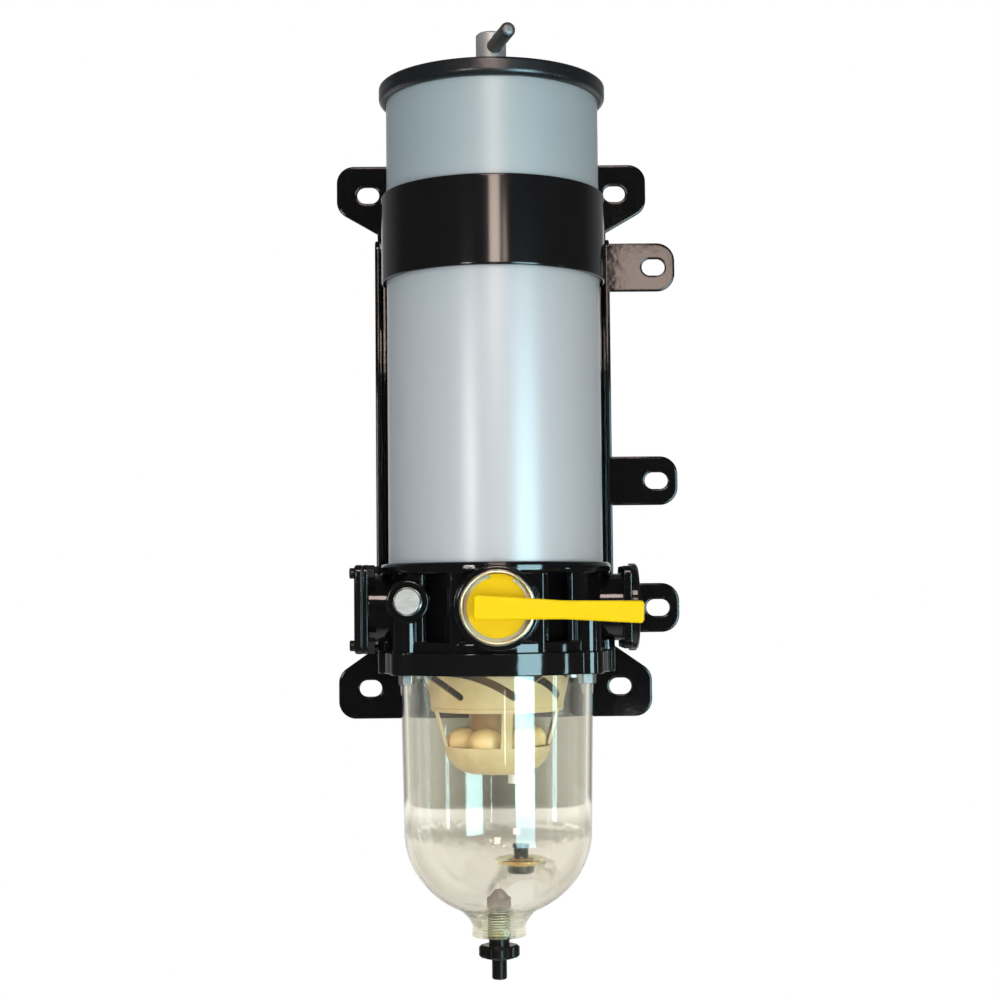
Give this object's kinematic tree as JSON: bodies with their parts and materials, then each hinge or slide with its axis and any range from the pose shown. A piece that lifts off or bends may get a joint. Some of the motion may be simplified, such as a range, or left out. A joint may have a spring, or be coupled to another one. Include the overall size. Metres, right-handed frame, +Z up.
{
  "type": "fuel water separator",
  "caption": "Fuel filter and water separator on a wall bracket: can with lid and T-handle, cast head with lever valve and ports, clear bowl with swirl cone, probe and drain.",
  "frame": {"origin": "centre of the four slotted ear holes, on the back face of the mounting bracket", "axes": "+Y out of the bracket's back face into the wall, +Z up along the can, +X to the right seen from the front"},
  "size_m": [0.211, 0.17, 0.5534],
  "materials": {
    "black_paint": "gloss",
    "black_casting": "gloss",
    "can_paint": "satin",
    "black_screws": "gloss",
    "zinc": "satin",
    "steel": "satin",
    "circlip_steel": "satin",
    "probe_steel": "satin",
    "aluminium": "satin",
    "yellow_plastic": "gloss",
    "clear_plastic": "gloss",
    "beige_plastic": "satin",
    "white_plastic": "satin",
    "black_plastic": "satin",
    "black_rubber": "matte",
    "brown_rubber": "matte",
    "orange_rubber": "matte",
    "filter_paper": "matte"
  },
  "bodies": {
    "separator": {"mounting_bracket": "black_paint", "clamp_band": "black_paint", "clamp_screws": "black_screws", "head_screws": "zinc", "head_casting": "black_casting", "side_plug": "zinc", "side_plug_washer": "zinc", "inlet_cover": "black_casting", "inlet_gasket": "black_rubber", "inlet_screws": "black_screws", "inlet_nuts": "black_screws", "outlet_flange": "black_casting", "outlet_seal": "black_rubber", "outlet_screws": "black_screws", "valve_circlip": "circlip_steel", "can": "can_paint", "can_gasket": "black_rubber", "return_tube": "aluminium", "cartridge_media": "filter_paper", "cartridge_core": "zinc", "cartridge_bottom_cap": "black_plastic", "cartridge_top_cap": "black_plastic", "cartridge_grommets": "black_rubber", "cartridge_bails": "steel", "bowl_ring": "black_casting", "ring_bolts": "zinc", "bowl_gasket": "black_rubber", "clear_bowl": "clear_plastic", "water_probe": "probe_steel", "probe_seal": "orange_rubber", "probe_tip": "black_plastic", "turbine": "beige_plastic", "turbine_cage": "beige_plastic", "cup_plug": "white_plastic", "turbine_diffuser": "beige_plastic", "check_ball": "steel", "turbine_screws": "zinc"},
    "lid": {"lid": "black_paint", "lid_gasket": "black_rubber"},
    "handle_collar": {"handle_washer": "zinc"},
    "t_handle": {"t_handle": "steel", "t_handle_pin": "steel"},
    "valve": {"valve_handle": "yellow_plastic", "valve_rotor": "steel", "rotor_seals": "black_rubber"},
    "drain_seal": {"drain_seal": "brown_rubber"},
    "drain_stem": {"drain_stem": "black_plastic"}
  },
  "joints": [
    {"name": "valve_turn", "type": "hinge", "parent": "separator", "child": "valve", "pos_m": [0, -0.084, -0.1055], "axis": [0, 1, 0], "range_deg": [0, 90]},
    {"name": "lid_lift", "type": "slide", "parent": "separator", "child": "lid", "axis": [0, 0, 1], "range_m": [0, 0.25]},
    {"name": "handle_rise", "type": "slide", "parent": "lid", "child": "handle_collar", "axis": [0, 0, 1], "range_m": [0, 0.01505]},
    {"name": "handle_turn", "type": "hinge", "parent": "handle_collar", "child": "t_handle", "pos_m": [0, -0.084, 0.22], "axis": [0, 0, 1], "range_deg": [0, 2700]},
    {"name": "drain_rise", "type": "slide", "parent": "separator", "child": "drain_seal", "axis": [0, 0, 1], "range_m": [0, 0.00305]},
    {"name": "drain_turn", "type": "hinge", "parent": "drain_seal", "child": "drain_stem", "pos_m": [0, -0.084, -0.3], "axis": [0, 0, 1], "range_deg": [0, 720]}
  ],
  "couplings": [
    {"joint": "handle_rise", "follows": "handle_turn", "m_per_rad": 0.00031831},
    {"joint": "drain_rise", "follows": "drain_turn", "m_per_rad": 0.00023873}
  ]
}
